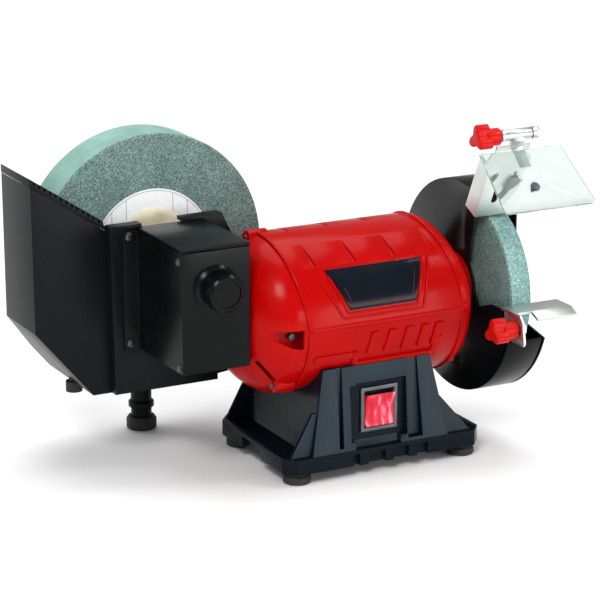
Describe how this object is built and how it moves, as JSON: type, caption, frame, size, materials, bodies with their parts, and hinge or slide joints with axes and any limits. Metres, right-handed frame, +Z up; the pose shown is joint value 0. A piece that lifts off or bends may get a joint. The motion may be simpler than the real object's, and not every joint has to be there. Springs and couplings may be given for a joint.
{
  "type": "wet and dry bench grinder",
  "caption": "Bench grinder with a dry wheel in a sheet guard and a slow wet wheel in a water tank, driven through a worm from one motor.",
  "frame": {"origin": "on the surface it stands on, under the middle of its outer box", "axes": "+X along the motor axis towards the dry wheel, +Y to the back, +Z up"},
  "size_m": [0.4208, 0.2676, 0.2854],
  "materials": {
    "red_paint": "glossy red enamel on the cast motor housing",
    "red_plastic": "glossy red moulded knobs",
    "black_plastic": "black textured moulding",
    "black_sheet": "black powder coat on folded sheet",
    "grey_stone": "grey green bonded abrasive",
    "steel": "zinc plated sheet and bar",
    "dark_steel": "laminated and blackened steel",
    "copper": "enamelled copper winding",
    "bronze": "bronze bushes and worm wheel",
    "rubber": "black rubber",
    "plate_black": "blank glossy name plate",
    "cream_plastic": "cream moulded flange",
    "paper": "white paper disc",
    "clear_plastic": "clear polycarbonate sheet",
    "switch_frame": "translucent switch cover frame",
    "switch_red": "translucent red rocker"
  },
  "bodies": {
    "housing": {"base_bottom_cover": "black_sheet", "base_housing": "black_plastic", "bearing_left": "steel", "bearing_right": "steel", "capacitor": "black_plastic", "carrier_plate": "black_plastic", "cord_gland": "rubber", "drain_plug": "rubber", "foot_back_left": "rubber", "foot_back_right": "rubber", "foot_front_left": "rubber", "foot_front_right": "rubber", "gearbox_cover": "black_sheet", "gearbox_lid": "black_sheet", "gearbox_screw_1": "steel", "gearbox_screw_2": "steel", "guard_body": "black_sheet", "guard_cover": "black_sheet", "left_end_bell": "red_paint", "motor_body": "red_paint", "name_plate": "plate_black", "post_foot": "rubber", "rest_bolt": "steel", "right_end_bell": "red_paint", "spark_screw_1": "dark_steel", "spark_screw_2": "dark_steel", "stator_core": "dark_steel", "support_post": "black_plastic", "switch_frame": "switch_frame", "water_tank": "black_plastic", "wet_bush_front": "bronze", "wet_bush_rear": "bronze", "wet_tool_rest": "black_plastic", "winding_left": "copper", "winding_right": "copper"},
    "motor_rotor": {"motor_shaft": "steel", "rotor_core": "dark_steel", "cooling_fan": "black_plastic", "worm": "steel", "worm_nut": "steel", "dry_flange_inner": "steel", "dry_wheel": "grey_stone", "dry_flange_outer": "steel", "dry_nut": "steel"},
    "wet_spindle": {"wet_shaft": "steel", "worm_wheel": "bronze", "wet_flange_front": "cream_plastic", "wet_label": "paper", "wet_wheel": "grey_stone", "wet_flange_rear": "cream_plastic", "wet_nut": "steel"},
    "switch_rocker": {"switch_rocker": "switch_red"},
    "tool_rest": {"tool_rest": "steel"},
    "rest_knob": {"rest_knob": "red_plastic"},
    "spark_bracket": {"spark_plate": "steel", "shield_rod": "steel"},
    "shield": {"eye_shield": "clear_plastic", "shield_strap": "steel", "shield_screw": "dark_steel"},
    "shield_knob": {"shield_knob": "red_plastic"}
  },
  "joints": [
    {"name": "wet_spin", "type": "hinge", "parent": "housing", "child": "wet_spindle", "pos_m": [-0.09337, -0.01225, 0.1706], "axis": [0, 1, 0], "continuous": true},
    {"name": "motor_spin", "type": "hinge", "parent": "housing", "child": "motor_rotor", "pos_m": [0.16037, -0.01225, 0.1306], "axis": [1, 0, 0], "continuous": true},
    {"name": "switch_rock", "type": "hinge", "parent": "housing", "child": "switch_rocker", "pos_m": [0.04637, -0.06624, 0.0539], "axis": [1, 0, 0], "range_deg": [-14, 0]},
    {"name": "rest_slide", "type": "slide", "parent": "housing", "child": "tool_rest", "axis": [0, 1, 0], "range_m": [-0.006, 0.0015]},
    {"name": "rest_knob_turn", "type": "hinge", "parent": "housing", "child": "rest_knob", "pos_m": [0.14037, -0.11224, 0.1176], "axis": [1, 0, 0], "range_deg": [-180, 180]},
    {"name": "spark_plate_slide", "type": "slide", "parent": "housing", "child": "spark_bracket", "axis": [0, -0.4288, 0.9034], "range_m": [-0.0015, 0.01]},
    {"name": "shield_tilt", "type": "hinge", "parent": "spark_bracket", "child": "shield", "pos_m": [0.16037, -0.08585, 0.2736], "axis": [1, 0, 0], "range_deg": [-80, 20]},
    {"name": "shield_knob_turn", "type": "hinge", "parent": "spark_bracket", "child": "shield_knob", "pos_m": [0.13537, -0.08585, 0.2736], "axis": [1, 0, 0], "range_deg": [-180, 180]}
  ],
  "couplings": [
    {"joint": "motor_spin", "follows": "wet_spin", "ratio": 22}
  ]
}
